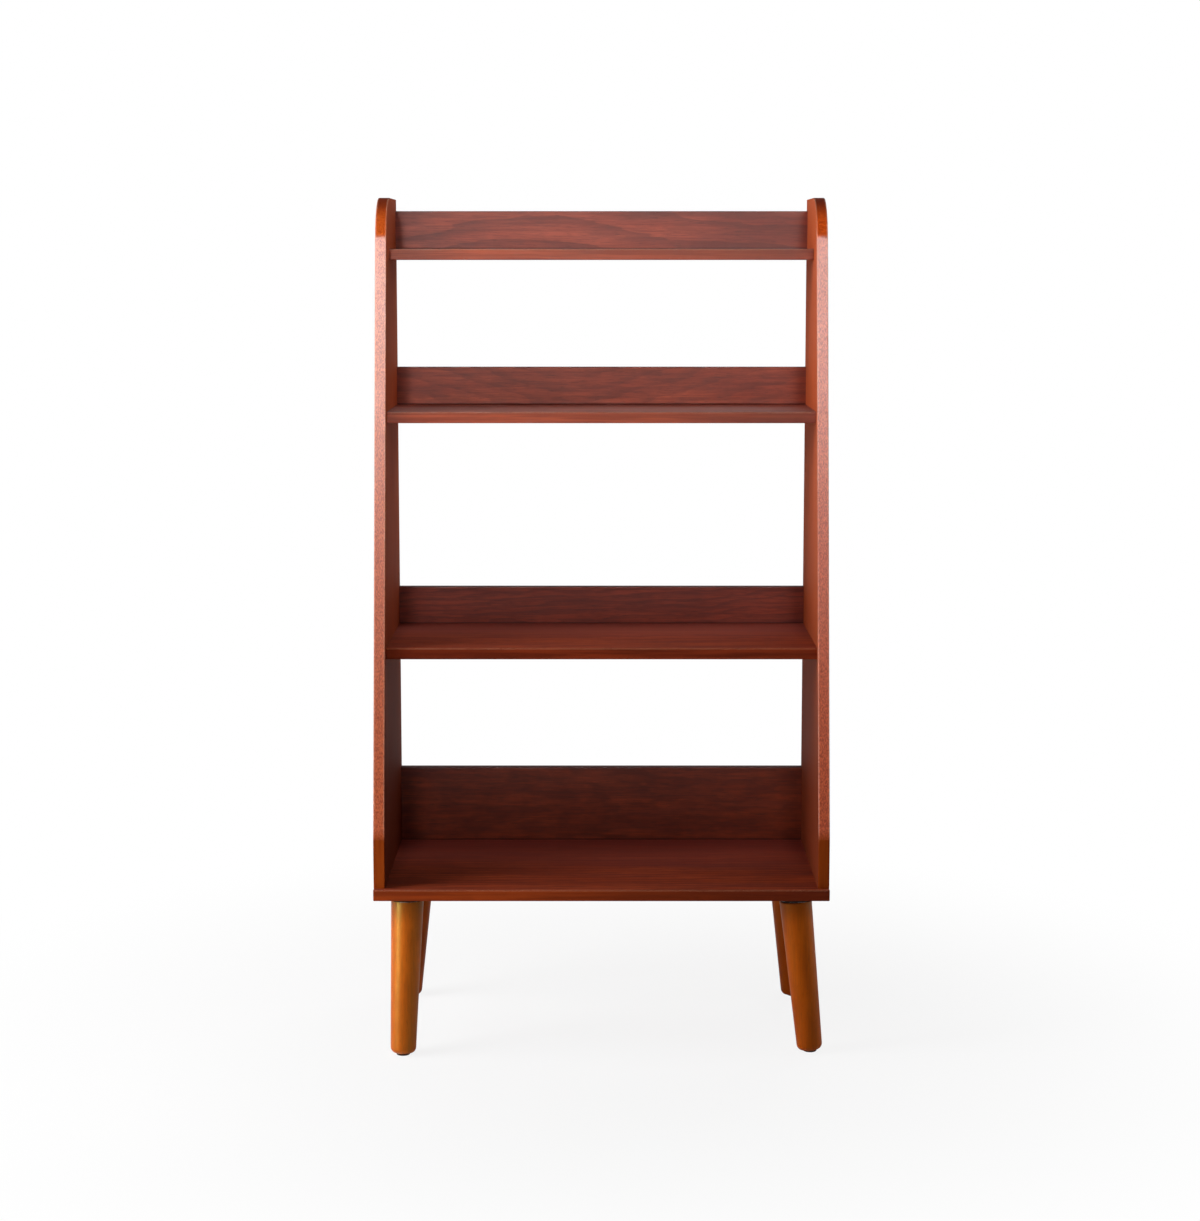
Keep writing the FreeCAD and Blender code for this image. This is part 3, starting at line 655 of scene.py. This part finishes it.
# Room: a pale studio, which adds a little soft light from all round and is seen as plain white.
# Gloss mirrors its white from the sides, the back and low down, but not from overhead or straight in front.
room_light = 0.04
mirrored_front = (-0.75, -0.45)
mirrored_overhead = (0.75, 0.50)
room = bpy.data.worlds.new("room")
room.use_nodes = True
bpy.context.scene.world = room
room_soft = room.node_tree.nodes["Background"]
room_soft.inputs["Color"].default_value = plain_white
room_soft.inputs["Strength"].default_value = room_light
room_path = step(room, "LightPath", {})
direction = axes(room, step(room, "TexCoord", {}).outputs["Generated"])
off_front = spread(room, direction[depthwise], *mirrored_front)
off_overhead = spread(room, direction[heightwise], *mirrored_overhead)
room_mirrored = sums(room, "MULTIPLY", mirrored_ray(room, room_path), off_front)
room_mirrored = sums(room, "MULTIPLY", room_mirrored, off_overhead)
room_shown = sums(room, "MAXIMUM", room_path.outputs["Is Camera Ray"], room_mirrored)
room_white = step(room, "Background", {"Color": plain_white, "Strength": 1.0})
seen_white(room, room_shown, room_soft, room_white, "World Output")


# Lamps: four soft boxes, two on the left, one behind and one on the right, and four boxes with grids, which
# keep their light in a beam. Two of the grids, in front and high up, are what shows as the gloss on the
# sloping edges of the panels. One lights the inside of the left panel, and one the front left leg.


def soft_box(name, place, aim, width, height, watts, beam):
    """A flat lamp turned to its aim, with its light kept within a beam of so many degrees."""
    lamp = bpy.data.lights.new(name, "AREA")
    lamp.shape = "RECTANGLE"
    lamp.size = width
    lamp.size_y = height
    lamp.energy = watts
    lamp.spread = math.radians(beam)
    stand = bpy.data.objects.new(name, lamp)
    stand.location = place
    stand.rotation_euler = (Vector(aim) - Vector(place)).to_track_quat("-Z", "Y").to_euler()
    bpy.context.scene.collection.objects.link(stand)


no_grid = 180
wide_grid = 90
leg_grid = 40
edge_grid = 30
left_panel_edge = (-0.29, 0, 0.95)
right_panel_edge = (0.29, 0, 0.95)
for lamp_name, place, aim, width, height, watts, beam in (
        ("left_box", (-1.7, -0.4, 1.0), (0, 0, 0.7), 1.0, 1.0, 24, no_grid),
        ("upper_left_box", (-1.1, -0.4, 1.6), (0.2, 0, 0.8), 0.6, 0.6, 8, no_grid),
        ("rear_box", (0.9, 1.6, 2.6), (0, 0, 0.6), 1.5, 1.5, 16, no_grid),
        ("right_grid", (1.3, -0.5, 1.6), (-0.29, 0, 0.9), 0.5, 0.5, 0.5, wide_grid),
        ("left_edge_grid", (-0.585, -3.35, 2.15), left_panel_edge, 0.3, 0.3, 1.25, edge_grid),
        ("right_edge_grid", (0.585, -3.35, 2.15), right_panel_edge, 0.3, 0.3, 0.98, edge_grid),
        ("right_box", (1.7, 0.12, 0.6), (0.3, 0.05, 0.55), 0.4, 0.8, 5, no_grid),
        ("low_grid", (-1.3, -0.75, 0.22), (-0.27, -0.12, 0.12), 0.25, 0.25, 0.42, leg_grid)):
    soft_box(lamp_name, place, aim, width, height, watts, beam)


# Camera: in front of the bookcase at the height of its top shelf, tipped down a little.
# Its lens is a short telephoto, shifted slightly so that the bookcase sits where it does in the photo.
camera_place = (0, -3.317, 1.0475)
camera_tip = math.radians(7.2)
lens_length = 72.86
sensor_width = 36
frame_shift = (-0.0012, -0.0317)
camera_lens = bpy.data.cameras.new("camera")
camera_lens.lens = lens_length
camera_lens.sensor_width = sensor_width
camera_lens.shift_x, camera_lens.shift_y = frame_shift
camera = bpy.data.objects.new("camera", camera_lens)
camera.location = camera_place
camera.rotation_euler = (math.pi / 2 - camera_tip, 0, 0)
bpy.context.scene.collection.objects.link(camera)
bpy.context.scene.camera = camera
bpy.context.scene.view_settings.view_transform = "Standard"
